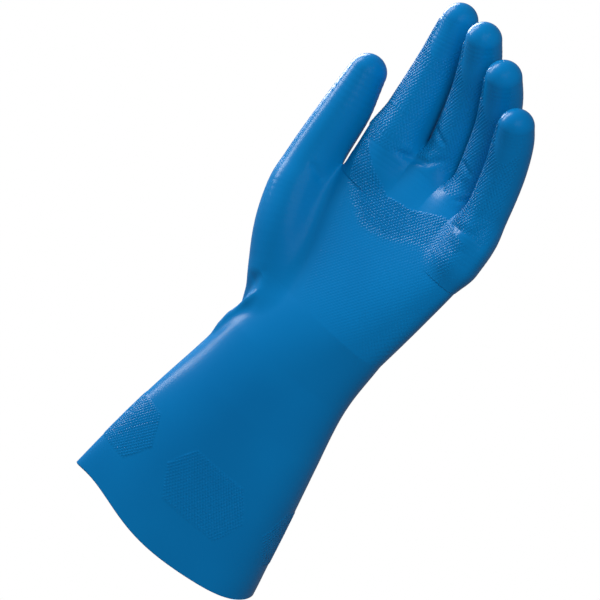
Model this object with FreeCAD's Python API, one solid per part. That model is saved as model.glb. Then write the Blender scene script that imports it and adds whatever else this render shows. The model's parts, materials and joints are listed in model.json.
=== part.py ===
import FreeCAD, Part
import math
import os

# A left-hand rubber household glove in the shape that it has on a hand: a dipped latex skin with a
# flock lining inside. Millimetres. The palm faces -Y, the fingers point to +Z, the thumb is on the -X
# side, and the origin is the middle of the cuff's mouth, in the plane of its cut edge.
#
# The skin is one moulding. It is divided here at the creases where it bends, so that each length
# between two creases is a solid on its own body. A crease is a third solid, which fills the wedge
# between two lengths at rest.

Vector = FreeCAD.Vector

# Driving dimensions
SKIN = 0.45            # latex wall
LINING = 0.35          # flock layer inside the wall
BOND = 0.02            # clearance between wall and flock, so that the two solids never cross
CREASE_GAP = 0.4       # half the gap between two lengths at the crease's own axis
CREASE_FIT = 0.05      # clearance between a crease and the lengths beside it
HINGE_SPARE = 1.5      # degrees that a wedge opens past the hinge's limit, on each side
SECTION_POINTS = 24    # points round one section of the cuff or hand
SPACE = 700.0          # a box this large stands for a half space
MOUTH_OVERRUN = 5.0    # how far the hollow runs past the cut edge, so that the mouth is open
SLIVER = 0.5           # volume in mm3 below which a scrap left by a cut is dropped
EQUAL = 1e-6           # two radii closer than this are the same

# Cuff and hand, from the mouth to the crown between the fingers: height, centre x, half width and
# half depth of each section
PROFILE = [
    (0.0, 0.5, 55.5, 27.0),
    (45.0, -0.5, 49.0, 26.5),
    (90.0, -1.0, 41.0, 25.0),
    (112.0, -0.5, 38.5, 24.0),
    (130.0, 0.0, 41.0, 22.5),
    (155.0, 2.5, 44.5, 20.5),
    (190.0, 7.0, 47.0, 17.5),
    (211.0, 9.0, 48.0, 15.0),
    (226.0, 9.0, 47.5, 11.0),
]
CROWN_HEIGHT = PROFILE[-1][0]
MOUTH_TWIST = 28.0     # degrees that the flat of the cuff's mouth is turned from the flat of the palm
TWIST_ENDS = 140.0     # height at which that turn is gone
MOUTH_FULLNESS = 0.55  # how much fuller the mouth's palm side is towards the little finger
BACK_SHARE = 0.5       # share of that fullness that the back loses there
FULLNESS_ENDS = 110.0  # height at which that fullness is gone
CUP_DEPTH = 14.0       # how deeply the crown is cupped round the palm
CUP_STARTS = 80.0      # height below which the section is not cupped
CUP_SHAPE = (0.26, -0.21, -1.0)  # the cupping across the hand: its constant, slope and curvature
CROWN_SLOPE = 0.1      # how much lower the crown is at the little finger, per mm across
SLOPE_STARTS = 175.0   # height below which a section is level

WRIST = Vector(0.0, 0.0, 118.0)
WRIST_BEND = (-40.0, 40.0)

# Fingers: root centre at the web, lean towards the thumb, bend towards the palm of each length at
# rest, the four lengths from web to tip centre, and the radius at each of the five points
FINGERS = {
    "index": {
        "root": Vector(-27.6, -2.0, 231.0),
        "lean": 7.5,
        "bends": (2.0, 3.0, 10.0, 17.0),
        "lengths": (13.0, 25.0, 16.5, 10.5),
        "radii": (12.6, 12.0, 11.2, 10.4, 9.0),
    },
    "middle": {
        "root": Vector(-1.2, 5.0, 231.0),
        "lean": 6.5,
        "bends": (8.0, 19.0, 31.0, 40.0),
        "lengths": (13.0, 27.0, 19.5, 14.5),
        "radii": (11.4, 11.0, 10.6, 10.1, 8.8),
    },
    "ring": {
        "root": Vector(22.3, 3.0, 227.0),
        "lean": 6.5,
        "bends": (8.0, 20.0, 34.0, 44.0),
        "lengths": (13.0, 25.5, 19.0, 14.5),
        "radii": (11.0, 10.7, 10.4, 10.0, 8.8),
    },
    "little": {
        "root": Vector(44.5, -9.5, 223.0),
        "lean": 6.5,
        "bends": (8.0, 17.0, 28.0, 37.0),
        "lengths": (13.0, 19.0, 16.5, 10.5),
        "radii": (10.5, 10.2, 10.0, 9.7, 8.6),
    },
}
ROOT_BEND = (-15.0, 60.0)
MIDDLE_BEND = (-5.0, 65.0)
TIP_BEND = (-5.0, 40.0)
STUB_DEPTH = 16.0      # how far a finger reaches down inside the hand
STUB_TAPER = 1.5       # how much thinner a finger is at that inner end than at the web

# Thumb: its base runs up the side of the palm, and its last three points are two creases and the tip
THUMB_BASE = [
    (Vector(-28.0, -5.0, 131.0), 15.5),
    (Vector(-42.5, -9.0, 157.0), 16.5),
    (Vector(-51.5, -9.5, 176.0), 15.8),
    (Vector(-55.0, -9.0, 189.0), 14.4),
]
THUMB_CREASES = [
    (Vector(-57.0, -9.0, 204.0), 13.4),
    (Vector(-58.4, -9.5, 226.0), 12.3),
]
THUMB_TIP = (Vector(-60.5, -10.5, 245.5), 9.8)
THUMB_ROOT_BEND = (-12.0, 40.0)
THUMB_TIP_BEND = (-5.0, 50.0)
THUMB_CLOSES_AT = 50.0  # direction in which the thumb's tip closes, in degrees from the palm's normal


def rising(height, start):
    """0 below a height, rising evenly to 1 at the crown."""
    return max(0.0, (height - start) / (CROWN_HEIGHT - start))


def section(row, inset):
    """The control points of one cuff or hand section, inset inside the glove's outer face."""
    height, centre, half_width, half_depth = row
    twist = MOUTH_TWIST * max(0.0, 1 - (height / TWIST_ENDS) ** 2)
    skew = MOUTH_FULLNESS * max(0.0, 1 - height / FULLNESS_ENDS)
    cup = CUP_DEPTH * rising(height, CUP_STARTS)
    slope = CROWN_SLOPE * rising(height, SLOPE_STARTS)
    step = 2 * math.pi / SECTION_POINTS
    stand_off = 3 / (2 + math.cos(step))
    points = []
    for i in range(SECTION_POINTS):
        across, out = stand_off * math.cos(i * step), stand_off * math.sin(i * step)
        fullness = 1 + skew * across if out < 0 else 1 - BACK_SHARE * skew * across
        x = (half_width - inset) * across
        y = (half_depth - inset) * out * fullness
        y += cup * (CUP_SHAPE[0] + CUP_SHAPE[1] * across + CUP_SHAPE[2] * across**2)
        turned = FreeCAD.Rotation(Vector(0, 0, 1), twist).multVec(Vector(x, y, -slope * x))
        points.append(Vector(centre, 0, height) + turned)
    return points


def trunk(inset, overrun=0.0):
    """Cuff and hand as one closed body. Inset keeps it inside the wall, and overrun opens the mouth."""
    rows = list(PROFILE)
    rows[-1] = (CROWN_HEIGHT - inset,) + PROFILE[-1][1:]
    poles = [list(column) for column in zip(*[section(row, inset) for row in rows])]
    spans = len(rows) - 3
    surface = Part.BSplineSurface()
    surface.buildFromPolesMultsKnots(
        poles,
        [1] * (SECTION_POINTS + 1),
        [4] + [1] * (spans - 1) + [4],
        [float(i) for i in range(SECTION_POINTS + 1)],
        [float(i) for i in range(spans + 1)],
        True,
        False,
        3,
        3,
    )
    side = surface.toShape()
    mouth = Part.Face(Part.Wire(surface.vIso(0.0).toShape()))
    crown = Part.Face(Part.Wire(surface.vIso(float(spans)).toShape()))
    shell = Part.makeShell([side, mouth, crown])
    shell.sewShape()
    body = Part.makeSolid(Part.Shell(shell.Faces))
    if body.Volume < 0:
        body.reverse()
    if overrun:
        body = body.fuse(mouth.extrude(Vector(0, 0, -overrun)))
    return body


def rod(start, end, start_radius, end_radius):
    """A round bar that tapers from one point to another."""
    along = end - start
    if abs(start_radius - end_radius) < EQUAL:
        return Part.makeCylinder(start_radius, along.Length, start, along)
    return Part.makeCone(start_radius, end_radius, along.Length, start, along)


def chain(stations, inset):
    """Tapering bars joined by balls, with a ball at both ends. A station is a point and a radius."""
    pieces = [Part.makeSphere(radius - inset, point) for point, radius in stations]
    for (start, r0), (end, r1) in zip(stations, stations[1:]):
        pieces.append(rod(start, end, r0 - inset, r1 - inset))
    return pieces[0].multiFuse(pieces[1:]).removeSplitter()


def half_space(point, normal, clearance):
    """Everything more than clearance in front of a plane."""
    box = Part.makeBox(SPACE, SPACE, SPACE, Vector(-SPACE / 2, -SPACE / 2, clearance))
    box.Placement = FreeCAD.Placement(point, FreeCAD.Rotation(Vector(0, 0, 1), normal))
    return box


class Crease:
    """A line where the skin bends: its middle, the way the glove runs there and the way it closes."""

    def __init__(self, name, middle, along, closes, limits):
        self.name = name
        self.middle = middle
        self.along = Vector(along).normalize()
        sideways = closes - self.along * closes.dot(self.along)
        self.closes = Vector(sideways).normalize()
        low, high = sorted(abs(limit) for limit in limits)
        self.open_half = math.radians(low / 2 + HINGE_SPARE)
        self.close_half = math.radians(high / 2 + HINGE_SPARE)

    def side(self, way, clearance):
        """The space on one side of the crease, +1 towards the fingertip and -1 towards the cuff."""
        along = self.along * way
        palm = along * math.cos(self.close_half) - self.closes * math.sin(self.close_half)
        back = along * math.cos(self.open_half) + self.closes * math.sin(self.open_half)
        palm_side = half_space(self.middle, palm, clearance)
        return palm_side.common(half_space(self.middle, back, clearance))


def between(body, lower, upper):
    """The length of a body between two creases. Either may be None, at a glove's end."""
    if lower:
        body = body.common(lower.side(1, CREASE_GAP))
    if upper:
        body = body.common(upper.side(-1, CREASE_GAP))
    return body


def crease_filling(body, crease):
    """The part of a body in the wedge of a crease."""
    clearance = CREASE_GAP - CREASE_FIT
    return body.cut([crease.side(1, clearance), crease.side(-1, clearance)])


def finger_direction(lean, bend):
    """Which way a finger points: leaning to the thumb's side, bent from straight towards the palm."""
    lean, bend = math.radians(lean), math.radians(bend)
    straight = Vector(-math.sin(lean), 0, math.cos(lean))
    return straight * math.cos(bend) + Vector(0, -math.sin(bend), 0)


def finger_stations(finger):
    """Web, root crease, middle crease, tip crease and tip centre, each with its radius."""
    point = finger["root"]
    stations = [(point, finger["radii"][0])]
    for bend, length, radius in zip(finger["bends"], finger["lengths"], finger["radii"][1:]):
        point = point + finger_direction(finger["lean"], bend) * length
        stations.append((point, radius))
    return stations


def finger_creases(name, finger):
    stations = finger_stations(finger)
    palm = Vector(0, -1, 0)
    creases = []
    for i, (label, limits) in enumerate(
        (("root", ROOT_BEND), ("middle", MIDDLE_BEND), ("tip", TIP_BEND))
    ):
        before = finger_direction(finger["lean"], finger["bends"][i])
        after = finger_direction(finger["lean"], finger["bends"][i + 1])
        crease = Crease(f"{name}_{label}", stations[i + 1][0], before + after, palm, limits)
        creases.append(crease)
    return creases


def thumb_creases():
    points = [THUMB_BASE[-1][0]] + [point for point, _ in THUMB_CREASES] + [THUMB_TIP[0]]
    closes_at = math.radians(THUMB_CLOSES_AT)
    across_palm = Vector(math.sin(closes_at), -math.cos(closes_at), 0)
    creases = []
    for i, (label, closes, limits) in enumerate(
        (
            ("root", Vector(0, -1, 0), THUMB_ROOT_BEND),
            ("tip", across_palm, THUMB_TIP_BEND),
        )
    ):
        before = (points[i + 1] - points[i]).normalize()
        after = (points[i + 2] - points[i + 1]).normalize()
        creases.append(Crease(f"thumb_{label}", points[i + 1], before + after, closes, limits))
    return creases


def wrist_crease():
    return Crease("wrist", WRIST, Vector(0, 0, 1), Vector(0, -1, 0), WRIST_BEND)


def finger_body(finger, inset):
    """A whole finger, from inside the hand to its tip."""
    stations = finger_stations(finger)
    first, radius = stations[0]
    inside = first - finger_direction(finger["lean"], 0) * STUB_DEPTH
    return chain([(inside, radius - STUB_TAPER)] + stations, inset)


def thumb_body(inset):
    return chain(THUMB_BASE + THUMB_CREASES + [THUMB_TIP], inset)


class Layer:
    """The solids of one layer of the glove, outer and inner faces at given depths in the wall."""

    def __init__(self, outer, inner):
        self.outer = outer
        self.inner = inner
        self.hollow_trunk = trunk(inner, MOUTH_OVERRUN)
        self.trunk_skin = trunk(outer).cut(self.hollow_trunk)

    def cuff(self, wrist):
        return self.trunk_skin.common(wrist.side(-1, CREASE_GAP))

    def hand(self, wrist, root_creases, thumb_root):
        """The palm and back, with a short sleeve up to the root crease of each finger and the thumb."""
        digits = [finger_body(finger, self.outer) for finger in FINGERS.values()]
        digits.append(thumb_body(self.outer))
        sleeves = [
            between(digit, None, crease) for digit, crease in zip(digits, root_creases + [thumb_root])
        ]
        skin = trunk(self.outer)
        for sleeve in sleeves:
            skin = skin.fuse(sleeve)
        skin = skin.cut(self.hollow_trunk)
        for finger in FINGERS.values():
            skin = skin.cut(finger_body(finger, self.inner))
        skin = skin.cut(thumb_body(self.inner))
        return skin.common(wrist.side(1, CREASE_GAP))

    def finger_skin(self, finger):
        return finger_body(finger, self.outer).cut(finger_body(finger, self.inner))

    def thumb_skin(self):
        return thumb_body(self.outer).cut(thumb_body(self.inner))


def write(name, shape):
    """One STEP file for one node, with its solids only."""
    solids = [s for s in shape.Solids if s.Volume > SLIVER]
    body = solids[0] if len(solids) == 1 else Part.makeCompound(solids)
    body.exportStep(f"parts/{name}.step")
    volume = sum(s.Volume for s in solids)
    valid = all(s.isValid() for s in solids)
    print(f"{name}: {len(solids)} solid(s), {volume:.0f} mm3, valid {valid}")


def main():
    os.makedirs("parts", exist_ok=True)
    for old in os.listdir("parts"):
        os.remove(os.path.join("parts", old))

    wrist = wrist_crease()
    thumb = thumb_creases()
    fingers = {name: finger_creases(name, finger) for name, finger in FINGERS.items()}
    roots = [creases[0] for creases in fingers.values()]

    skin = Layer(0.0, SKIN)
    flock = Layer(SKIN + BOND, SKIN + BOND + LINING)
    for layer, suffix in ((skin, ""), (flock, "_lining")):
        write(f"cuff{suffix}", layer.cuff(wrist))
        write(f"hand{suffix}", layer.hand(wrist, roots, thumb[0]))
        tube = layer.thumb_skin()
        write(f"thumb_base{suffix}", between(tube, thumb[0], thumb[1]))
        write(f"thumb_tip{suffix}", between(tube, thumb[1], None))
        if layer is skin:
            write("wrist_crease", crease_filling(layer.trunk_skin, wrist))
            for crease in thumb:
                write(f"{crease.name}_crease", crease_filling(tube, crease))
        for name, finger in FINGERS.items():
            tube = layer.finger_skin(finger)
            root, middle, tip = fingers[name]
            write(f"{name}_base{suffix}", between(tube, root, middle))
            write(f"{name}_middle{suffix}", between(tube, middle, tip))
            write(f"{name}_tip{suffix}", between(tube, tip, None))
            if layer is skin:
                for crease in fingers[name]:
                    write(f"{crease.name}_crease", crease_filling(tube, crease))


if __name__ == "__main__":
    main()
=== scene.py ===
import json
import math

import bmesh
import bpy
import numpy as np
from mathutils import Matrix, Vector


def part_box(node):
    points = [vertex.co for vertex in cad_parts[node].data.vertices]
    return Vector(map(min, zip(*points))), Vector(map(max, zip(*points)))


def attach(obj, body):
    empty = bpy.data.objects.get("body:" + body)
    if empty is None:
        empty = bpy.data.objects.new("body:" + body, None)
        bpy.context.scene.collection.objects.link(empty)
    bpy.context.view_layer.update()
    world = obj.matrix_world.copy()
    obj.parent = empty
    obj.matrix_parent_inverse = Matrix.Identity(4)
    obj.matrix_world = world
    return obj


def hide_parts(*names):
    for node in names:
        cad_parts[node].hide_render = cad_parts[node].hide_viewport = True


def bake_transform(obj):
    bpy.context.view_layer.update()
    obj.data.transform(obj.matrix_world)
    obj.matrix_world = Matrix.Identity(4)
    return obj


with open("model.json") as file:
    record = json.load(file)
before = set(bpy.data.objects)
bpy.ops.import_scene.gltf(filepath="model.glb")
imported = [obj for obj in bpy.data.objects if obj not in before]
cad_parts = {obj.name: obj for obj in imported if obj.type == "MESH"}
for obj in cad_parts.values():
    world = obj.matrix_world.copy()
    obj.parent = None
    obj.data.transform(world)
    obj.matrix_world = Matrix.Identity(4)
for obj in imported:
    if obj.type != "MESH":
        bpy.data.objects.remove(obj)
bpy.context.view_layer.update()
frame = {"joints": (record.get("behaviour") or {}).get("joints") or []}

# The glove's visual model. All shapes are worked out in millimetres in the CAD frame and turned into
# metres when a mesh is made. Palm to -Y, fingers to +Z, thumb to -X, cuff mouth at z = 0.
MM = 0.001

# ---------------------------------------------------------------- skeleton, read from the frame
PIVOT = {j["name"]: np.array(j["pos_m"], float) / MM for j in frame["joints"]}
AXIS = {j["name"]: np.array(j["axis"], float) for j in frame["joints"]}
FINGERS = ("index", "middle", "ring", "little")
RADII = {
    "index": (13.8, 13.4, 11.9, 10.5, 9.0),
    "middle": (12.0, 11.7, 10.9, 10.1, 8.8),
    "ring": (11.0, 10.7, 10.4, 10.0, 8.8),
    "little": (10.5, 10.2, 10.0, 9.7, 8.6),
}
ROOT_LENGTH = 13.0     # from the web to a finger's root joint
ROOT_BEND = {"index": 2.0, "middle": 8.0, "ring": 8.0, "little": 8.0}
STUB = 16.0            # how far a finger reaches down inside the hand
STUB_TAPER = 1.5       # how much thinner a finger is at that inner end than at the web
# The thumb's stations inside the hand, as offsets from its root joint, with their radii
THUMB_BELOW = (
    ((29, 4, -73), 15.5),
    ((14.5, 0, -47), 16.5),
    ((5.5, -0.5, -28), 15.8),
    ((2, 0, -15), 14.4),
)
THUMB_RADII = (13.4, 12.3, 9.8)       # at the root joint, the tip joint and the tip's centre
THUMB_TIP_SHIFT = (-0.9, -0.6, 0)


def unit(v):
    return v / np.linalg.norm(v)


def finger_stations(name):
    """(centre, radius) from inside the hand to the tip, the joints of the frame among them."""
    root, middle, tip = (PIVOT[f"{name}_{joint}_bend"] for joint in ("root", "middle", "tip"))
    radii = RADII[name]
    axis = AXIS[f"{name}_root_bend"]
    straight = unit(np.array([-axis[2], 0.0, axis[0]]))
    bend = math.radians(ROOT_BEND[name])
    web = root - ROOT_LENGTH * (straight * math.cos(bend) + np.array([0, -math.sin(bend), 0]))
    low, high = (np.array(corner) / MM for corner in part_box(f"{name}_tip"))
    z = high[2] - radii[4]
    y = low[1] + radii[4]
    x = tip[0] + straight[0] / straight[2] * (z - tip[2])
    inside = web - straight * STUB
    return [
        (inside, radii[0] - STUB_TAPER),
        (web, radii[0]),
        (root, radii[1]),
        (middle, radii[2]),
        (tip, radii[3]),
        (np.array([x, y, z]), radii[4]),
    ]


def thumb_stations():
    """(centre, radius) from inside the hand to the thumb's tip."""
    root, tip = PIVOT["thumb_root_bend"], PIVOT["thumb_tip_bend"]
    end_z = np.array(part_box("thumb_tip")[1])[2] / MM - THUMB_RADII[2]
    end = tip + (tip - root) * (end_z - tip[2]) / (tip[2] - root[2]) + np.array(THUMB_TIP_SHIFT)
    below = [(root + np.array(offset), radius) for offset, radius in THUMB_BELOW]
    return below + list(zip((root, tip, end), THUMB_RADII))


DIGITS = {name: finger_stations(name) for name in FINGERS}
DIGITS["thumb"] = thumb_stations()
CURVE_STEPS = 6


def curved(stations):
    """The stations joined by a smooth curve instead of straight lines."""
    rows = np.array([[*point, radius] for point, radius in stations])
    padded = np.concatenate([[2 * rows[0] - rows[1]], rows, [2 * rows[-1] - rows[-2]]])
    out = []
    for p0, p1, p2, p3 in zip(padded, padded[1:], padded[2:], padded[3:]):
        for t in np.arange(CURVE_STEPS) / CURVE_STEPS:
            out.append(0.5 * (2 * p1 + (p2 - p0) * t + (2 * p0 - 5 * p1 + 4 * p2 - p3) * t**2
                              + (3 * p1 - p0 - 3 * p2 + p3) * t**3))
    out.append(rows[-1])
    return [(row[:3], row[3]) for row in out]


CURVES = {name: curved(stations) for name, stations in DIGITS.items()}
FAR = 13.0             # a digit farther away than this doesn't count

# ---------------------------------------------------------------- cuff and hand as a distance field
# height, centre x, half width, half depth
PROFILE = np.array([
    (0.0, 0.5, 55.5, 27.0),
    (45.0, -0.5, 49.0, 26.5),
    (90.0, -1.0, 41.0, 25.0),
    (112.0, -0.5, 38.5, 24.0),
    (130.0, 0.0, 41.0, 22.5),
    (155.0, 2.5, 44.5, 20.5),
    (190.0, 7.0, 47.0, 17.5),
    (211.0, 9.0, 48.0, 15.0),
    (226.0, 9.0, 47.5, 11.0),
])
TOP = PROFILE[-1][0]
CROWN = 230.0          # where the hand ends between the fingers
CROWN_SLOPE = 0.1      # how much lower the crown is towards the little finger
SLOPE_STARTS = 175.0
MOUTH_TWIST, TWIST_ENDS = 28.0, 140.0             # degrees at the mouth, and the height where it ends
MOUTH_FULLNESS, FULLNESS_ENDS = 0.55, 110.0       # the mouth's section is fuller at one side
FULLNESS_LIMIT = 1.05
BACK_FULLNESS = 0.5    # share of it on the back
CUP_DEPTH, CUP_STARTS = 14.0, 80.0                # the hand's section is cupped towards the palm
CUP_SHAPE = (0.26, -0.21, -1.0)
SIDE_LIMIT = 1.15      # cup and fullness stop growing this far across
WEB_SOFTNESS = 10.0    # radius over which a finger flows into the hand
THUMB_SOFTNESS = 7.0
CROWN_SOFTNESS = 12.0
SPLINE_ROWS = 120
TINY = 1e-6


def smoothed(rows):
    """The profile rows as a fine table along the cubic B-spline that has them as control points."""
    count = len(rows)
    knots = np.concatenate([[0] * 3, np.arange(count - 2), [count - 3] * 3]).astype(float)
    out = []
    for u in np.linspace(0, count - 3 - 1e-9, SPLINE_ROWS):
        span = np.searchsorted(knots, u, side="right") - 1
        d = [rows[j + span - 3].copy() for j in range(4)]
        for r in range(1, 4):
            for j in range(3, r - 1, -1):
                left, right = knots[j + span - 3], knots[j + 1 + span - r]
                share = (u - left) / (right - left)
                d[j] = (1 - share) * d[j - 1] + share * d[j]
        out.append(d[3])
    return np.array(out)


TRUNK = smoothed(PROFILE)


def section_place(p):
    """Where points lie in their cuff or hand section: across and out as shares of the half axes."""
    x, y, z = p[..., 0], p[..., 1], p[..., 2]
    rise = np.clip((z - SLOPE_STARTS) / (TOP - SLOPE_STARTS), 0, 1)
    level = z + CROWN_SLOPE * rise * x
    centre, half_width, half_depth = (np.interp(level, TRUNK[:, 0], TRUNK[:, i]) for i in (1, 2, 3))
    twist = np.radians(MOUTH_TWIST) * np.clip(1 - (np.maximum(level, 0) / TWIST_ENDS) ** 2, 0, 1)
    dx = x - centre
    across = (dx * np.cos(twist) + y * np.sin(twist)) / half_width
    out = -dx * np.sin(twist) + y * np.cos(twist)
    cup = CUP_DEPTH * np.clip((level - CUP_STARTS) / (TOP - CUP_STARTS), 0, 1)
    bounded = np.clip(across, -SIDE_LIMIT, SIDE_LIMIT)
    out = out - cup * (CUP_SHAPE[0] + CUP_SHAPE[1] * bounded + CUP_SHAPE[2] * bounded**2)
    skew = MOUTH_FULLNESS * np.clip(1 - level / FULLNESS_ENDS, 0, FULLNESS_LIMIT)
    fullness = np.where(out < 0, 1 + skew * bounded, 1 - BACK_FULLNESS * skew * bounded)
    return across, out / (half_depth * fullness), half_width, half_depth * fullness, level


def smooth_min(a, b, reach):
    """The lesser of two distances, rounded where they differ by less than the reach."""
    h = np.maximum(reach - np.abs(a - b), 0) / reach
    return np.minimum(a, b) - h * h * reach * 0.25


def smooth_max(a, b, reach):
    return -smooth_min(-a, -b, reach)


def trunk_gap(p):
    """Distance from the cuff and hand without the digits, below zero inside."""
    across, out, half_width, half_depth, level = section_place(p)
    k = np.sqrt(across**2 + out**2) + TINY
    slope = np.sqrt((across / half_width) ** 2 + (out / half_depth) ** 2) / k + TINY
    side = (k - 1) / slope
    return smooth_max(side, level - CROWN, CROWN_SOFTNESS)


CHUNK = 6000           # points worked out at a time


def by_height(measure, p):
    """A measure of many points, worked out for points of like height together."""
    order = np.argsort(p[:, 2])
    out = np.empty(len(p))
    for start in range(0, len(p), CHUNK):
        some = order[start:start + CHUNK]
        out[some] = measure(p[some])
    return out


def digit_gap(p, name):
    """Distance from a digit. Lengths that are far above or below all the points are left out."""
    if p.ndim == 2 and len(p) > CHUNK:
        return by_height(lambda q: digit_gap(q, name), p)
    lowest, highest = p[..., 2].min(), p[..., 2].max()
    best = np.full(p.shape[:-1], FAR)
    for (a, ra), (b, rb) in zip(CURVES[name], CURVES[name][1:]):
        if min(a[2], b[2]) - FAR > highest or max(a[2], b[2]) + FAR < lowest:
            continue
        ab = b - a
        t = np.clip(((p - a) @ ab) / (ab @ ab), 0, 1)
        gap = np.linalg.norm(p - a - t[..., None] * ab, axis=-1) - (ra + t * (rb - ra))
        best = np.minimum(best, gap)
    return best


def field(p):
    """Distance from the glove's outer face, below zero inside."""
    if p.ndim == 2 and len(p) > CHUNK:
        return by_height(field, p)
    fingers = np.minimum.reduce([digit_gap(p, name) for name in FINGERS])
    fingered = smooth_min(trunk_gap(p), fingers, WEB_SOFTNESS)
    return smooth_min(fingered, digit_gap(p, "thumb"), THUMB_SOFTNESS)


# ---------------------------------------------------------------- surface from the field
LOW = np.array([-76.0, -46.0, -4.0])
HIGH = np.array([66.0, 42.0, 311.0])
SLAB = 10              # grid layers worked out at a time
SLOPE_STEP = 0.02      # mm, for measuring the field's slope
SETTLE_ROUNDS = 2
LEAST_SLOPE = 0.25
LONGEST_STEP = 1.0


def moved_cells(cells, axes, steps):
    """Grid cells a number of steps along two axes from the given ones."""
    out = cells.copy()
    for axis, step in zip(axes, steps):
        out[:, axis] += step
    return out


def surface(cell, offset):
    """Quads of the field's surface at an offset, by surface nets on a grid with cells of that size."""
    counts = np.ceil((HIGH - LOW) / cell).astype(int) + 1
    axes = [LOW[i] + cell * np.arange(counts[i]) for i in range(3)]
    values = np.empty(counts, np.float32)
    for start in range(0, counts[2], SLAB):
        zs = axes[2][start:start + SLAB]
        grid = np.stack(np.meshgrid(axes[0], axes[1], zs, indexing="ij"), -1)
        values[:, :, start:start + SLAB] = field(grid) - offset
    inside = values < 0
    # each cell that the surface passes through gets one vertex, the mean of its edges' crossing points
    cells_in = counts - 1
    total = np.zeros((*cells_in, 3), np.float32)
    crossings = np.zeros(cells_in, np.int16)
    crossing_edges = []
    for axis in range(3):
        lower = [slice(None)] * 3
        upper = [slice(None)] * 3
        lower[axis], upper[axis] = slice(0, -1), slice(1, None)
        a, b = values[tuple(lower)], values[tuple(upper)]
        hit = np.argwhere(inside[tuple(lower)] != inside[tuple(upper)])
        va, vb = a[tuple(hit.T)], b[tuple(hit.T)]
        point = hit.astype(np.float32)
        point[:, axis] += va / (va - vb)
        others = [i for i in range(3) if i != axis]
        for steps in ((0, 0), (0, -1), (-1, 0), (-1, -1)):
            cells = moved_cells(hit, others, steps)
            good = np.all((cells >= 0) & (cells < cells_in), axis=1)
            key = tuple(cells[good].T)
            np.add.at(total, key, point[good])
            np.add.at(crossings, key, 1)
        crossing_edges.append((axis, others, hit, va < 0))
    used = np.argwhere(crossings > 0)
    index = np.full(cells_in, -1, np.int64)
    index[tuple(used.T)] = np.arange(len(used))
    points = total[tuple(used.T)] / crossings[tuple(used.T)][:, None]
    points = LOW + points * cell
    # each crossed edge gets one quad, between the four cells round it
    quads = []
    for axis, others, hit, solid_first in crossing_edges:
        good = np.all((hit[:, others] > 0) & (hit[:, others] < cells_in[others]), axis=1)
        hit, first = hit[good], solid_first[good]
        rounds = ((0, 0), (-1, 0), (-1, -1), (0, -1))
        ring = np.stack([index[tuple(moved_cells(hit, others, steps).T)] for steps in rounds], 1)
        turned = first if axis != 1 else ~first
        ring[~turned] = ring[~turned][:, ::-1]
        quads.append(ring)
    quads = np.concatenate(quads)
    return points, quads[np.all(quads >= 0, axis=1)]


def gradient(p):
    """The field's slope at points."""
    here = field(p)
    return np.stack([field(p + shift) - here for shift in np.eye(3) * SLOPE_STEP], -1) / SLOPE_STEP


def settled(points, offset):
    """Points moved onto the surface at that offset."""
    for _ in range(SETTLE_ROUNDS):
        slope = gradient(points)
        size = np.maximum((slope**2).sum(-1), LEAST_SLOPE)
        step = np.clip((field(points) - offset) / size, -LONGEST_STEP, LONGEST_STEP)
        points = points - slope * step[:, None]
    return points


def trimmed(points, quads, edge):
    """The surface above the mouth's plane, its border vertices exactly in that plane."""
    keep = (points[quads][..., 2] > edge).any(axis=1)
    quads = quads[keep]
    used = np.unique(quads)
    remap = np.full(len(points), -1)
    remap[used] = np.arange(len(used))
    points = points[used].copy()
    points[:, 2] = np.maximum(points[:, 2], edge)
    return points, remap[quads]


# ---------------------------------------------------------------- places on the glove
ROOT_STATION = {"index": 2, "middle": 2, "ring": 2, "little": 2, "thumb": 4}
FAR_AWAY = 1e9


def before_root(name):
    """Distance along a digit from its first station to its root joint."""
    stations, count = DIGITS[name], ROOT_STATION[name]
    return sum(np.linalg.norm(b[0] - a[0]) for a, b in zip(stations[:count], stations[1:count + 1]))


def across_digit(way):
    """The directions square to a digit's length: to the palm side and to the little finger's side."""
    palm = np.array([0.0, -1.0, 0.0])
    palm = unit(palm - way * (palm @ way))
    return palm, np.cross(way, palm)


def along_digit(p, name):
    """For points near a digit: distance along it from its root joint, angle round it and its radius.
    The angle is 0 on the palm side and grows towards the little finger's side."""
    stations = DIGITS[name]
    best = np.full(len(p), FAR_AWAY)
    run = np.zeros(len(p))
    angle = np.zeros(len(p))
    size = np.zeros(len(p))
    start = -before_root(name)
    for (a, ra), (b, rb) in zip(stations, stations[1:]):
        ab = b - a
        length = np.linalg.norm(ab)
        way = ab / length
        palm, side = across_digit(way)
        off = p - a
        t = (off @ way) / length
        held = np.clip(t, 0, 1)
        radius = ra + held * (rb - ra)
        gap = np.linalg.norm(off - held[:, None] * ab, axis=1) - radius
        closer = gap < best
        share = t if b is stations[-1][0] else held
        best = np.where(closer, gap, best)
        run = np.where(closer, start + share * length, run)
        angle = np.where(closer, np.arctan2(off @ side, off @ palm), angle)
        size = np.where(closer, radius, size)
        start += length
    return run, angle, size


def smoothstep(low, high, x):
    """0 below low, 1 above high, smooth between them."""
    t = np.clip((x - low) / (high - low), 0, 1)
    return t * t * (3 - 2 * t)


def band(x, low, high, soft):
    """1 from low to high, 0 outside, with soft ends."""
    return smoothstep(low - soft, low + soft, x) * (1 - smoothstep(high - soft, high + soft, x))


LOZENGE_LONG = 2.5
LOZENGE_WIDE = 1.8
GROOVE = 0.16
GROOVE_FLOOR, GROOVE_SHOULDER = 0.35, 1.9         # as shares of the groove
RELIEF = 0.48          # height of the grip in mm


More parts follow.
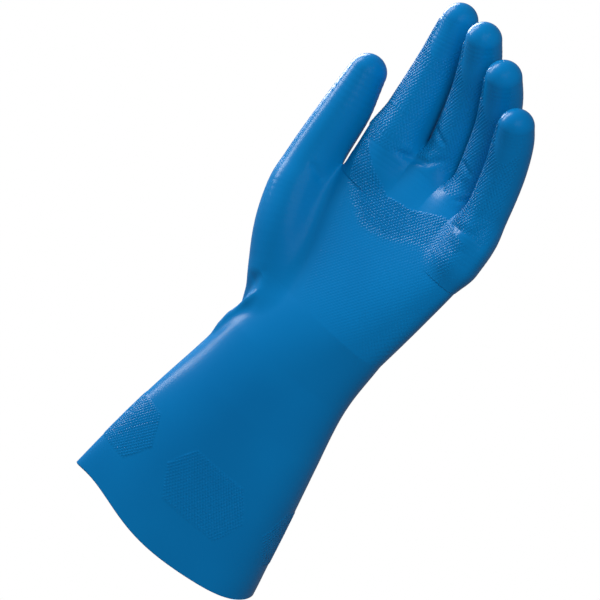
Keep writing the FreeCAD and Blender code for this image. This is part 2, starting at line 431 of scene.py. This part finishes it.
def lozenges(along, across):
    """Raised diamonds between two crossing sets of grooves, 0 to 1."""
    u = along / LOZENGE_LONG + across / LOZENGE_WIDE
    v = along / LOZENGE_LONG - across / LOZENGE_WIDE
    edge = np.minimum(0.5 - np.abs(u % 1 - 0.5), 0.5 - np.abs(v % 1 - 0.5))
    return smoothstep(GROOVE * GROOVE_FLOOR, GROOVE * GROOVE_SHOULDER, edge)


CUFF_AXES = (50.0, 26.5)              # half width and half depth of the cuff at the patches
ARC_ANGLES = np.linspace(-math.pi, math.pi, 721)
ARC_STEPS = np.hypot(CUFF_AXES[0] * np.diff(np.cos(ARC_ANGLES)), CUFF_AXES[1] * np.diff(np.sin(ARC_ANGLES)))
ARC = np.concatenate([[0], np.cumsum(ARC_STEPS)])


def round_cuff(p):
    """Distance round the cuff from the middle of its palm face."""
    across, out, _, _, _ = section_place(p)
    arc = np.interp(np.arctan2(out, across), ARC_ANGLES, ARC)
    return arc - np.interp(-math.pi / 2, ARC_ANGLES, ARC)


HEXAGON_HEIGHT = 36.0
HEXAGON_HALF = 15.0
HEXAGON_REACH = 25.0
HEXAGON_SLANT = 0.55
HEXAGON_FIRST = 9.0    # from the middle of the palm face to the first patch
HEXAGONS = 4
HEXAGON_EDGE = 0.5
CUFF_STRENGTH = 0.6


def hexagon_local(p):
    """Place on the cuff from the middle of the nearest patch: round the cuff, and up."""
    pitch = ARC[-1] / HEXAGONS
    local = (round_cuff(p) - HEXAGON_FIRST + pitch / 2) % pitch - pitch / 2
    return local, p[:, 2] - HEXAGON_HEIGHT


def hexagon_place(p):
    """Distance outside the nearest hexagon patch, below zero inside it."""
    local, up = hexagon_local(p)
    slanted = np.abs(local) + np.abs(up) * HEXAGON_SLANT - HEXAGON_REACH
    return np.maximum(slanted, np.abs(up) - HEXAGON_HALF)


def cuff_grip(p):
    """Diamonds inside the cuff's patches."""
    local, up = hexagon_local(p)
    return (1 - smoothstep(-HEXAGON_EDGE, HEXAGON_EDGE, hexagon_place(p))) * lozenges(up, local)


# Upper border of the palm's grip, as x and z from the index finger's root joint
PALM_TOP = np.array([(-8, -21), (0, -25), (9, -31), (22, -37), (38, -34), (56, -25), (80, -27)], float)
PALM_BAND, PALM_BAND_FADE = 13.0, 9.0             # depth of the strongest part below it, and its fade
PALM_LEFT = (-4.0, 36.0, 0.40, -12.0)             # left border: its top, a height, its slope and its limit
PALM_RIGHT = (74.0, 84.0)                         # where the grip fades out, from the same joint
PALM_BOTTOM = (-112.0, -92.0)
PALM_FADE = (30.0, 60.0)                          # where the strong band weakens by half
PALM_WEAK = 0.16       # strength below the strong band


def palm_grip(p):
    """The panel across the palm below the fingers, strongest in a band along its upper border."""
    index_root = PIVOT["index_root_bend"]
    x, z = p[:, 0] - index_root[0], p[:, 2] - index_root[2]
    down = np.interp(x, PALM_TOP[:, 0], PALM_TOP[:, 1]) - z
    left_top, left_height, left_slope, left_limit = PALM_LEFT
    left = np.maximum(left_top - (z + left_height) * left_slope, left_limit)
    mask = smoothstep(-0.6, 0.6, down) * smoothstep(-1.2, 1.2, x - left)
    mask = mask * (1 - smoothstep(*PALM_RIGHT, x)) * smoothstep(*PALM_BOTTOM, z)
    strong = 1 - smoothstep(PALM_BAND, PALM_BAND + PALM_BAND_FADE, down)
    strength = PALM_WEAK + (1 - PALM_WEAK) * strong * (1 - 0.5 * smoothstep(*PALM_FADE, x))
    return mask * strength * lozenges(z, x)


# Where each finger's grip starts and ends, along it from its root joint
FINGER_GRIP = {
    "index": (-20.0, 46.0),
    "middle": (-10.0, 54.0),
    "ring": (-10.0, 54.0),
    "little": (-14.0, 43.0),
}


WRAP = (-112.0, 66.0)  # degrees round the finger, from the thumb's side to the other
WRAP_EDGE, RUN_EDGE = 4.0, 1.2
GRIP_OVERRUN = 4.0
# Middle of the smooth pad: mm past the grip's end, and degrees
PAD_PAST, PAD_TURN = 3.0, 14.0
PAD_SIZE = (17.0, 50.0)                           # its half length in mm and its half width in degrees
PAD_EDGE = (0.95, 1.05)
FRONT_STRENGTH, SIDE_STRENGTH = 0.35, 0.75        # the second is added towards the thumb's side
STRENGTH_FADE = (-50.0, 10.0)


def finger_grip(p, name):
    """Diamonds on a finger's palm side and thumb side, without the pad of its tip."""
    run, angle, size = along_digit(p, name)
    low, high = FINGER_GRIP[name]
    degrees = np.degrees(angle)
    wrap = band(degrees, *WRAP, WRAP_EDGE)
    pad = np.hypot((run - high - PAD_PAST) / PAD_SIZE[0], (degrees - PAD_TURN) / PAD_SIZE[1])
    mask = band(run, low, high + GRIP_OVERRUN, RUN_EDGE) * wrap * smoothstep(*PAD_EDGE, pad)
    fade = FRONT_STRENGTH + SIDE_STRENGTH * (1 - smoothstep(*STRENGTH_FADE, degrees))
    return mask * fade * lozenges(run, angle * size)


FOLD_SWELL = 0.15      # height of the swelling beside a fold, as a share of its depth
SWELL_PLACE, SWELL_WIDTH = 2.1, 1.2               # as shares of the fold's width
TAPER_GAIN, TAPER_MARGIN = 1.6, 0.02
END_WIDTH = 0.6        # width of a fold at its ends, as a share of its width


def crease(p, points, width, depth):
    """A fold along a line of points: how far the surface sinks, and by how much it swells beside it."""
    best = np.full(len(p), FAR_AWAY)
    share = np.zeros(len(p))
    lengths = [np.linalg.norm(b - a) for a, b in zip(points, points[1:])]
    done = 0.0
    for a, b, length in zip(points, points[1:], lengths):
        ab = b - a
        t = np.clip(((p - a) @ ab) / (length * length), 0, 1)
        gap = np.linalg.norm(p - a - t[:, None] * ab, axis=1)
        closer = gap < best
        best = np.where(closer, gap, best)
        share = np.where(closer, (done + t * length) / sum(lengths), share)
        done += length
    within = np.clip(share, TAPER_MARGIN, 1 - TAPER_MARGIN)
    taper = np.clip(np.sin(math.pi * within) * TAPER_GAIN, 0, 1)
    width_here = width * (END_WIDTH + (1 - END_WIDTH) * taper)
    groove = np.exp(-((best / width_here) ** 2))
    swell = np.exp(-(((best - SWELL_PLACE * width_here) / (SWELL_WIDTH * width_here)) ** 2))
    return taper * depth * (-groove + FOLD_SWELL * swell)


def on_digit(name, run, degrees):
    """A point on a digit's surface, by its distance from the root joint and its angle round the digit."""
    stations = DIGITS[name]
    start = -before_root(name)
    for (a, ra), (b, rb) in zip(stations, stations[1:]):
        length = np.linalg.norm(b - a)
        if run <= start + length or b is stations[-1][0]:
            break
        start += length
    way = (b - a) / length
    palm, side = across_digit(way)
    t = (run - start) / length
    angle = math.radians(degrees)
    out = palm * math.cos(angle) + side * math.sin(angle)
    return a + way * (run - start) + out * (ra + t * (rb - ra))


FRONT_FIRST, FRONT_LAST, FRONT_STEP = -45.0, 20.0, 0.25


def on_front(x, z):
    """The palm-side point of the surface at that x and z."""
    ys = np.arange(FRONT_FIRST, FRONT_LAST, FRONT_STEP)
    line = np.stack([np.full_like(ys, x), ys, np.full_like(ys, z)], -1)
    hit = np.argmax(field(line) < 0)
    return line[hit]


# Kind, joint or digit, places, width and depth. A place on the front is x and z from the joint. A place
# on a digit is a distance from its root joint and an angle in degrees.
FOLD_ROWS = (
    # the curved fold of the palm below the web between index and middle finger
    ("front", "index_root_bend", ((10, -18), (17, -15.5), (27, -12), (34, -4)), 1.9, 1.1),
    # from the web between ring and little finger across the palm's edge
    ("front", "ring_root_bend", ((2, -13), (8, -8), (12, -2)), 1.4, 0.8),
    # across the roots of middle and ring finger
    ("digit", "middle", ((9, -45), (6, -10), (3, 18)), 1.5, 0.7),
    ("digit", "ring", ((9, -40), (7, -5), (5, 20)), 1.5, 0.6),
    # round the root of the little finger
    ("digit", "little", ((-13, -62), (-15, -20), (-12, 30), (-4, 52)), 1.8, 0.55),
    ("digit", "little", ((-22, -40), (-25, 10), (-20, 45)), 2.2, 0.4),
    # the pleat at the thumb side of the wrist: a ridge with a valley above it
    ("front", "wrist_bend", ((-37, -24), (-34, -8), (-27, 12)), 2.6, -1.5),
    ("front", "wrist_bend", ((-39, -10), (-36, 6), (-31, 20)), 4.0, 1.8),
    # thumb web
    ("digit", "thumb", ((-18, 75), (-13, 55), (-10, 30)), 2.2, 0.6),
)


def fold_point(kind, name, place):
    if kind == "digit":
        return on_digit(name, *place)
    joint = PIVOT[name]
    return on_front(joint[0] + place[0], joint[2] + place[1])


FOLDS = [([fold_point(kind, name, place) for place in places], width, depth)
         for kind, name, places, width, depth in FOLD_ROWS]


def folds(p):
    """How far the folds raise or sink the surface."""
    shift = np.zeros(len(p))
    for points, width, depth in FOLDS:
        shift += crease(p, points, width, depth)
    return shift


THUMB_SIDE, THUMB_SIDE_SPREAD = 176, 0.55         # degrees round the section, and radians
PLEATS = ((-0.9, 9.0), (0.5, -8.0))               # depth, and height above the wrist
PLEAT_WIDTH = 8.0
PLEAT_SLANT = 8.0
CUFF_WAVES = ((2, 0.7, 0.9), (3, 2.1, 0.7), (5, 4.0, 0.35))       # turns, phase and size in mm
WAVE_TWIST = 0.012     # radians per mm of height
WAVE_FADE = (20.0, 105.0)


def wrist_folds(p):
    """Soft pleats at the thumb side of the wrist and slow waves of the cuff."""
    across, out, _, _, level = section_place(p)
    angle = np.arctan2(out, across)
    from_side = np.angle(np.exp(1j * (angle + math.radians(THUMB_SIDE))))
    thumb_side = np.exp(-((from_side / THUMB_SIDE_SPREAD) ** 2))
    rise = level - PIVOT["wrist_bend"][2]
    slant = rise + PLEAT_SLANT * np.angle(np.exp(1j * (angle + math.radians(180))))
    pleat = sum(size * np.exp(-(((slant - height) / PLEAT_WIDTH) ** 2)) for size, height in PLEATS)
    wave = sum(size * np.sin(turns * angle + phase + WAVE_TWIST * level) for turns, phase, size in CUFF_WAVES)
    low = 1 - smoothstep(*WAVE_FADE, level)
    return pleat * thumb_side + wave * low


# Turns, phase and size in mm
RIM_WAVES = ((1, 0.4, 1.2), (2, 1.1, 1.6), (3, 2.6, 1.0), (5, 0.9, 0.6))
RIM_WAVE_TOP = 26.0


def rim_wave(p):
    """How far the mouth's edge waves up and down."""
    across, out, _, _, level = section_place(p)
    angle = np.arctan2(out, across)
    wave = sum(size * np.sin(turns * angle + phase) for turns, phase, size in RIM_WAVES)
    return wave * (1 - smoothstep(0.0, RIM_WAVE_TOP, level))


PALM_FACING = 0.15     # a normal's y below this faces the palm side
PALM_RANGE = (125, 222)
FINGERS_FROM = 205
CUFF_GRIP_TOP = 60
DIGIT_LEAD, DIGIT_REACH = 0.8, 2.5                # mm: nearer than the hand by this, and at most this far


def shaped(points, normals, detail):
    """The points with folds, and with the grip if detail is asked for."""
    shift = folds(points) + wrist_folds(points)
    if detail:
        nearest = np.stack([digit_gap(points, name) for name in FINGERS], -1)
        owner = nearest.argmin(-1)
        gap = nearest.min(-1)
        trunk_first = (trunk_gap(points) < gap - DIGIT_LEAD) | (gap > DIGIT_REACH)
        grip = np.zeros(len(points))
        faces_palm = normals[:, 1] < PALM_FACING
        palm = faces_palm & (points[:, 2] < PALM_RANGE[1]) & (points[:, 2] > PALM_RANGE[0])
        grip[palm] = palm_grip(points[palm]) * smoothstep(PALM_FACING, -PALM_FACING, normals[palm, 1])
        for i, name in enumerate(FINGERS):
            mine = (owner == i) & (points[:, 2] > FINGERS_FROM) & ~trunk_first
            grip[mine] = np.maximum(grip[mine], finger_grip(points[mine], name))
        cuff = points[:, 2] < CUFF_GRIP_TOP
        grip[cuff] = CUFF_STRENGTH * cuff_grip(points[cuff])
        shift = shift + RELIEF * grip
    moved = points + normals * shift[:, None]
    moved[:, 2] += rim_wave(points)
    return moved


FINE_MARGIN = 2        # mm round a patch
FINE_PALM_FROM, FINE_PALM_FACING, FINE_PALM_LEFT = 128, 0.2, -45
FINE_FINGER_REACH, FINE_TIP_MARGIN = 3, 8
BACK_ANGLES = (-120, 80)                          # a finger's back begins outside these angles


def in_grip_zone(points, normals):
    """Where the surface needs the finer mesh."""
    z = points[:, 2]
    cuff_top = HEXAGON_HEIGHT + HEXAGON_HALF + FINE_MARGIN
    cuff = (z < cuff_top) & (hexagon_place(points) < FINE_MARGIN)
    palm = (z > FINE_PALM_FROM) & (z < PALM_RANGE[1])
    palm &= (normals[:, 1] < FINE_PALM_FACING) & (points[:, 0] > FINE_PALM_LEFT)
    fingers = z >= FINGERS_FROM
    for name in FINGERS:
        run, angle, _ = along_digit(points, name)
        near = digit_gap(points, name) < FINE_FINGER_REACH
        back = (np.degrees(angle) > BACK_ANGLES[1]) | (np.degrees(angle) < BACK_ANGLES[0])
        fingers = fingers & ~(near & (back | (run > FINGER_GRIP[name][1] + FINE_TIP_MARGIN)))
    fingers &= digit_gap(points, "thumb") > FINE_MARGIN
    return cuff | palm | fingers


# ---------------------------------------------------------------- pieces
# Each piece spans from one body to the next, or rides on the first if there is no second, and stands for
# the nodes in its list
PIECES = {"cuff": ("cuff", "hand", ["cuff", "wrist_crease"]), "palm": ("hand", None, ["hand"])}
FINGER_PARTS = {"root": "base", "mid": "middle", "end": "tip"}
THUMB_PARTS = {"root": "base", "end": "tip"}
CREASES = {"root": "root", "mid": "middle", "end": "tip"}
PARTS = {name: THUMB_PARTS if name == "thumb" else FINGER_PARTS for name in DIGITS}
for digit, parts in PARTS.items():
    before = "hand"
    for part, length in parts.items():
        body = f"{digit}_{length}"
        PIECES[f"{digit}_{part}"] = (before, body, [body, f"{digit}_{CREASES[part]}_crease"])
        before = body
PIECE_NAMES = list(PIECES)
CUFF_TOP = 158.0       # seam between cuff and palm
CUFF_FINE_TOP = 118.0  # marked edges above it are cut twice, others once
DIGITS_FROM = 180      # no digit's piece reaches lower
# How far a piece's span reaches before and after its joint, in mm
WRIST_SPAN = 36.0
THUMB_SPANS = {"root": (9, 11), "end": (10, 10)}
FINGER_ROOT_SPAN = 12
MID_MARGIN, MID_LONGEST = 6, 24
TIP_LONGEST = 8


def blend_span(piece):
    """Where a piece's span starts and stops round its joint, as two points of the frame in millimetres."""
    if piece == "cuff":
        wrist = PIVOT["wrist_bend"]
        return wrist - np.array([0, 0, WRIST_SPAN]), wrist + np.array([0, 0, WRIST_SPAN])
    digit, part = piece.split("_")
    if digit == "thumb":
        root, tip = PIVOT["thumb_root_bend"], PIVOT["thumb_tip_bend"]
        way = unit(tip - root)
        joint = root if part == "root" else tip
        before, after = THUMB_SPANS[part]
        return joint - way * before, joint + way * after
    root, middle, tip = (PIVOT[f"{digit}_{joint}_bend"] for joint in ("root", "middle", "tip"))
    if part == "root":
        way = unit(middle - root)
        return root - way * FINGER_ROOT_SPAN, root + way * FINGER_ROOT_SPAN
    half_middle = np.linalg.norm(tip - middle) * 0.5
    if part == "mid":
        half = 0.5 * min(np.linalg.norm(middle - root) - MID_MARGIN, MID_LONGEST)
        way = unit(unit(middle - root) + unit(tip - middle))
        return middle - way * half, middle + way * min(half, half_middle)
    end = DIGITS[digit][-1][0]
    way = unit(unit(tip - middle) + unit(end - tip))
    return tip - way * half_middle, tip + way * min(half_middle, TIP_LONGEST)


def piece_of(centres):
    """The piece that each face belongs to, as its place in PIECE_NAMES."""
    owner = np.full(len(centres), PIECE_NAMES.index("palm"))
    owner[centres[:, 2] < CUFF_TOP] = PIECE_NAMES.index("cuff")
    gaps = np.stack([digit_gap(centres, name) for name in DIGITS], -1)
    nearest = gaps.argmin(-1)
    for i, name in enumerate(DIGITS):
        mine = nearest == i
        previous_end = None
        for part in PARTS[name]:
            start, end = blend_span(f"{name}_{part}")
            cut = start if previous_end is None else (previous_end + start) / 2
            way = unit(end - start)
            beyond = mine & ((centres - cut) @ way > 0) & (centres[:, 2] > DIGITS_FROM)
            owner[beyond] = PIECE_NAMES.index(f"{name}_{part}")
            previous_end = end
    return owner


def refined(points, quads, zone):
    """The surface with the marked faces' edges cut, once on the cuff and twice elsewhere."""
    mesh = bmesh.new()
    made = [mesh.verts.new(p) for p in points]
    faces = [mesh.faces.new([made[i] for i in quad]) for quad in quads]
    mesh.edges.index_update()
    cuff_edges, other_edges = [], []
    seen = set()
    for face, wanted in zip(faces, zone):
        for edge in face.edges if wanted else ():
            if edge.index not in seen:
                seen.add(edge.index)
                on_cuff = edge.verts[0].co.z < CUFF_FINE_TOP
                (cuff_edges if on_cuff else other_edges).append(edge)
    bmesh.ops.subdivide_edges(mesh, edges=cuff_edges, cuts=1, use_grid_fill=True)
    other_edges = [edge for edge in other_edges if edge.is_valid]
    bmesh.ops.subdivide_edges(mesh, edges=other_edges, cuts=2, use_grid_fill=True)
    mesh.verts.index_update()
    out_points = np.array([v.co[:] for v in mesh.verts])
    out_faces = [[v.index for v in face.verts] for face in mesh.faces]
    mesh.free()
    return out_points, out_faces


def vertex_normals(points, faces):
    mesh = bpy.data.meshes.new("measure")
    mesh.from_pydata(points.tolist(), [], faces)
    normals = np.zeros(len(points) * 3, np.float32)
    mesh.vertices.foreach_get("normal", normals)
    bpy.data.meshes.remove(mesh)
    return normals.reshape(-1, 3).astype(float)


def build_pieces(points, faces, normals, centres, material, suffix, flock):
    """One object for each piece, its faces and normals taken from the whole surface."""
    owner = piece_of(centres)
    for i, name in enumerate(PIECE_NAMES):
        mine = [face for face, o in zip(faces, owner) if o == i]
        used = np.unique(np.concatenate([np.array(face) for face in mine]))
        remap = dict(zip(used.tolist(), range(len(used))))
        local = [[remap[v] for v in face] for face in mine]
        mesh = bpy.data.meshes.new(f"{name}{suffix}")
        mesh.from_pydata((points[used] * MM).tolist(), [], local)
        mesh.polygons.foreach_set("use_smooth", [True] * len(mesh.polygons))
        mesh.normals_split_custom_set_from_vertices(normals[used].tolist())
        piece = bpy.data.objects.new(f"{name}{suffix}", mesh)
        bpy.context.scene.collection.objects.link(piece)
        mesh.materials.append(material)
        a, b, nodes = PIECES[name]
        if b is None:
            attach(piece, a)
        else:
            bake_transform(piece)
        if flock:
            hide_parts(*[f"{n}_lining" for n in nodes if not n.endswith("_crease")])
        else:
            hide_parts(*nodes)


# ---------------------------------------------------------------- materials
LATEX_BLUE, LATEX_DEEP, LATEX_PALE = (0.0009, 0.150, 0.40), (0.0008, 0.138, 0.375), (0.0011, 0.160, 0.42)
LATEX_ROUGHNESS, LATEX_SPECULAR = 0.27, 0.12
FLOCK_COLOUR, FLOCK_ROUGHNESS, FLOCK_SHEEN = (0.60, 0.67, 0.74), 0.95, 0.4
FINE_NOISE, BROAD_NOISE, FLOCK_NOISE = (90.0, 4.0), (16.0, 2.0), (2200.0, 5.0)   # scale and detail
LATEX_BUMP, FLOCK_BUMP = (0.05, 0.0006), (0.55, 0.0005)                          # strength and distance
RAMP_ENDS = (0.3, 0.7)


def node_material(name, colour, roughness):
    material = bpy.data.materials.new(name)
    material.use_nodes = True
    shader = material.node_tree.nodes["Principled BSDF"]
    shader.inputs["Base Color"].default_value = (*colour, 1)
    shader.inputs["Roughness"].default_value = roughness
    return material, material.node_tree, shader


def add_noise(tree, scale, detail):
    place = tree.nodes.new("ShaderNodeTexCoord")
    noise = tree.nodes.new("ShaderNodeTexNoise")
    noise.inputs["Scale"].default_value = scale
    noise.inputs["Detail"].default_value = detail
    tree.links.new(place.outputs["Object"], noise.inputs["Vector"])
    return noise


def add_bump(tree, shader, noise, strength, distance):
    bump = tree.nodes.new("ShaderNodeBump")
    bump.inputs["Strength"].default_value = strength
    bump.inputs["Distance"].default_value = distance
    tree.links.new(noise.outputs["Fac"], bump.inputs["Height"])
    tree.links.new(bump.outputs["Normal"], shader.inputs["Normal"])


def latex_material():
    material, tree, shader = node_material("latex", LATEX_BLUE, LATEX_ROUGHNESS)
    shader.inputs["Specular IOR Level"].default_value = LATEX_SPECULAR
    add_bump(tree, shader, add_noise(tree, *FINE_NOISE), *LATEX_BUMP)
    broad = add_noise(tree, *BROAD_NOISE)
    ramp = tree.nodes.new("ShaderNodeValToRGB")
    for element, position, colour in zip(ramp.color_ramp.elements, RAMP_ENDS, (LATEX_DEEP, LATEX_PALE)):
        element.position = position
        element.color = (*colour, 1)
    tree.links.new(broad.outputs["Fac"], ramp.inputs["Fac"])
    tree.links.new(ramp.outputs["Color"], shader.inputs["Base Color"])
    return material


def flock_material():
    material, tree, shader = node_material("flock", FLOCK_COLOUR, FLOCK_ROUGHNESS)
    add_bump(tree, shader, add_noise(tree, *FLOCK_NOISE), *FLOCK_BUMP)
    shader.inputs["Sheen Weight"].default_value = FLOCK_SHEEN
    return material


# ---------------------------------------------------------------- the glove
CELL = 0.8
LINING_CELL = 1.6
LINING_OFFSET = -0.8
LINING_EDGE = 4.0      # the flock starts this far above the mouth
MOUTH_BAND = 12        # the mouth's border lies below this height
LEVEL = 0.001
# The mouth's cut edge and the band inside it: depth inside the outer face, and height
RETURN = ((0.5, -0.3), (1.0, 0.0), (1.1, 2.0), (1.1, 4.0), (1.1, 6.0))


def outer_skin():
    """The plain outer surface: vertices, faces and normals."""
    points, quads = surface(CELL, 0.0)
    points, quads = trimmed(settled(points, 0.0), quads, 0.0)
    points = settled_level(points)
    normals = vertex_normals(points, quads.tolist())
    zone = in_grip_zone(points, normals)[quads].any(axis=1)
    fine, faces = refined(points, quads.tolist(), zone)
    fine = settled_level(fine)
    normals = vertex_normals(fine, faces)
    return fine, faces, normals


def settled_level(points):
    """Points moved onto the surface without leaving their height near the mouth's edge."""
    moved = settled(points, 0.0)
    level = points[:, 2] <= LEVEL
    moved[level, 2] = 0.0
    return moved


def centres_of(points, faces):
    return np.array([points[face].mean(axis=0) for face in faces])


def rim_return(plain, points, faces):
    """The cut edge of the latex and the short band that shows inside the mouth, as added faces."""
    count = {}
    directed = set()
    for face in faces:
        for a, b in zip(face, face[1:] + face[:1]):
            key = (min(a, b), max(a, b))
            count[key] = count.get(key, 0) + 1
            directed.add((a, b))
    border = [key for key, n in count.items() if n == 1]
    border = [(a, b) for a, b in border if points[a, 2] < MOUTH_BAND and points[b, 2] < MOUTH_BAND]
    where = {v: i for i, v in enumerate(sorted({v for key in border for v in key}))}
    loop = np.array(list(where))
    rings = []
    for depth, height in RETURN:
        ring = plain[loop].copy()
        ring[:, 2] = height
        ring = settled(ring, -depth)
        ring[:, 2] = height
        out = gradient(ring)
        rings.append(shaped(ring, out / np.linalg.norm(out, axis=1)[:, None], False))
    base = len(points)
    size = len(loop)
    new_points = np.concatenate([points] + rings)
    new_faces = list(faces)
    for a, b in border:
        if (a, b) not in directed:
            a, b = b, a
        previous = (a, b)
        for level in range(len(rings)):
            following = (base + level * size + where[a], base + level * size + where[b])
            new_faces.append([previous[1], previous[0], following[0], following[1]])
            previous = following
    return new_points, new_faces


plain, faces, normals = outer_skin()
centres = centres_of(plain, faces)
shaped_points = shaped(plain, normals, True)
with_rim, all_faces = rim_return(plain, shaped_points, faces)
all_normals = vertex_normals(with_rim, all_faces)
extra = centres_of(with_rim, all_faces[len(faces):])
all_centres = np.concatenate([centres, extra])
build_pieces(with_rim, all_faces, all_normals, all_centres, latex_material(), "_latex", False)

lining, lining_quads = surface(LINING_CELL, LINING_OFFSET)
lining, lining_quads = trimmed(settled(lining, LINING_OFFSET), lining_quads, LINING_EDGE)
lining_faces = lining_quads[:, ::-1].tolist()
lining_centres = centres_of(lining, lining_faces)
lining_normals = vertex_normals(lining, lining_faces)
lining_shaped = shaped(lining, -lining_normals, False)
build_pieces(lining_shaped, lining_faces, vertex_normals(lining_shaped, lining_faces), lining_centres,
             flock_material(), "_flock", True)

# ---------------------------------------------------------------- stage, light and camera
AZIMUTH = math.radians(32.0)
ELEVATION = math.radians(12.0)
DISTANCE = 1.3
TARGET = Vector((-0.0177, 0.0, 0.136))
ROLL = (0.794, 0.607)                             # cosine and sine of the camera's roll
LENS, SENSOR = 156.0, 36.0
FLOOR_HALF, FLOOR_DROP = 12.0, 0.006
WORLD_LIGHT = 0.20     # the white world's strength as a light
RIGHT = Vector((math.cos(AZIMUTH), math.sin(AZIMUTH), 0))
AWAY = Vector((-math.sin(AZIMUTH), math.cos(AZIMUTH), 0))
UP = AWAY * math.sin(ELEVATION) + Vector((0, 0, math.cos(ELEVATION)))
BACK = RIGHT.cross(UP)

scene = bpy.context.scene
scene.view_settings.view_transform = "Standard"

floor_mesh = bpy.data.meshes.new("floor")
floor_corners = [(x * FLOOR_HALF, y * FLOOR_HALF, 0) for x, y in ((-1, -1), (1, -1), (1, 1), (-1, 1))]
floor_mesh.from_pydata(floor_corners, [], [(0, 1, 2, 3)])
floor = bpy.data.objects.new("floor", floor_mesh)
floor.location = (0, 0, -FLOOR_DROP)
scene.collection.objects.link(floor)
floor_material = bpy.data.materials.new("floor_white")
floor_material.use_nodes = True
floor_tree = floor_material.node_tree
floor_tree.nodes.remove(floor_tree.nodes["Principled BSDF"])
glow = floor_tree.nodes.new("ShaderNodeEmission")
glow.inputs["Strength"].default_value = 1.0
floor_tree.links.new(glow.outputs["Emission"], floor_tree.nodes["Material Output"].inputs["Surface"])
floor_mesh.materials.append(floor_material)
floor.visible_diffuse = False
floor.visible_glossy = False

world = bpy.data.worlds.new("studio")
scene.world = world
world.use_nodes = True
tree = world.node_tree
background = tree.nodes["Background"]
background.inputs["Color"].default_value = (1, 1, 1, 1)
path = tree.nodes.new("ShaderNodeLightPath")
strength = tree.nodes.new("ShaderNodeMapRange")
strength.inputs["To Min"].default_value = WORLD_LIGHT
strength.inputs["To Max"].default_value = 1.0
tree.links.new(path.outputs["Is Camera Ray"], strength.inputs["Value"])
tree.links.new(strength.outputs["Result"], background.inputs["Strength"])


def softbox(name, offset, size, power):
    """An area light at an offset from the target in the camera's right, up and back directions."""
    light = bpy.data.lights.new(name, "AREA")
    light.shape = "RECTANGLE"
    light.size, light.size_y = size
    light.energy = power
    lamp = bpy.data.objects.new(name, light)
    lamp.location = TARGET + RIGHT * offset[0] + UP * offset[1] + BACK * offset[2]
    lamp.rotation_euler = (TARGET - lamp.location).to_track_quat("-Z", "Y").to_euler()
    scene.collection.objects.link(lamp)
    return lamp


softbox("front", offset=(-0.05, 0.40, 1.20), size=(0.8, 0.8), power=12.6).visible_glossy = False
softbox("spot", offset=(0.10, 0.95, 0.95), size=(0.14, 0.14), power=0.3)
softbox("left", offset=(-1.25, 0.35, -0.25), size=(0.35, 1.1), power=22.0)
softbox("left_back", offset=(-0.75, 0.5, -0.85), size=(0.5, 0.8), power=20.0)

camera_data = bpy.data.cameras.new("camera")
camera_data.lens = LENS
camera_data.sensor_width = SENSOR
camera = bpy.data.objects.new("camera", camera_data)
scene.collection.objects.link(camera)
camera_x = RIGHT * ROLL[0] + UP * ROLL[1]
camera_y = RIGHT * -ROLL[1] + UP * ROLL[0]
placed = Matrix((camera_x, camera_y, BACK)).transposed().to_4x4()
placed.translation = TARGET + BACK * DISTANCE
camera.matrix_world = placed
scene.camera = camera
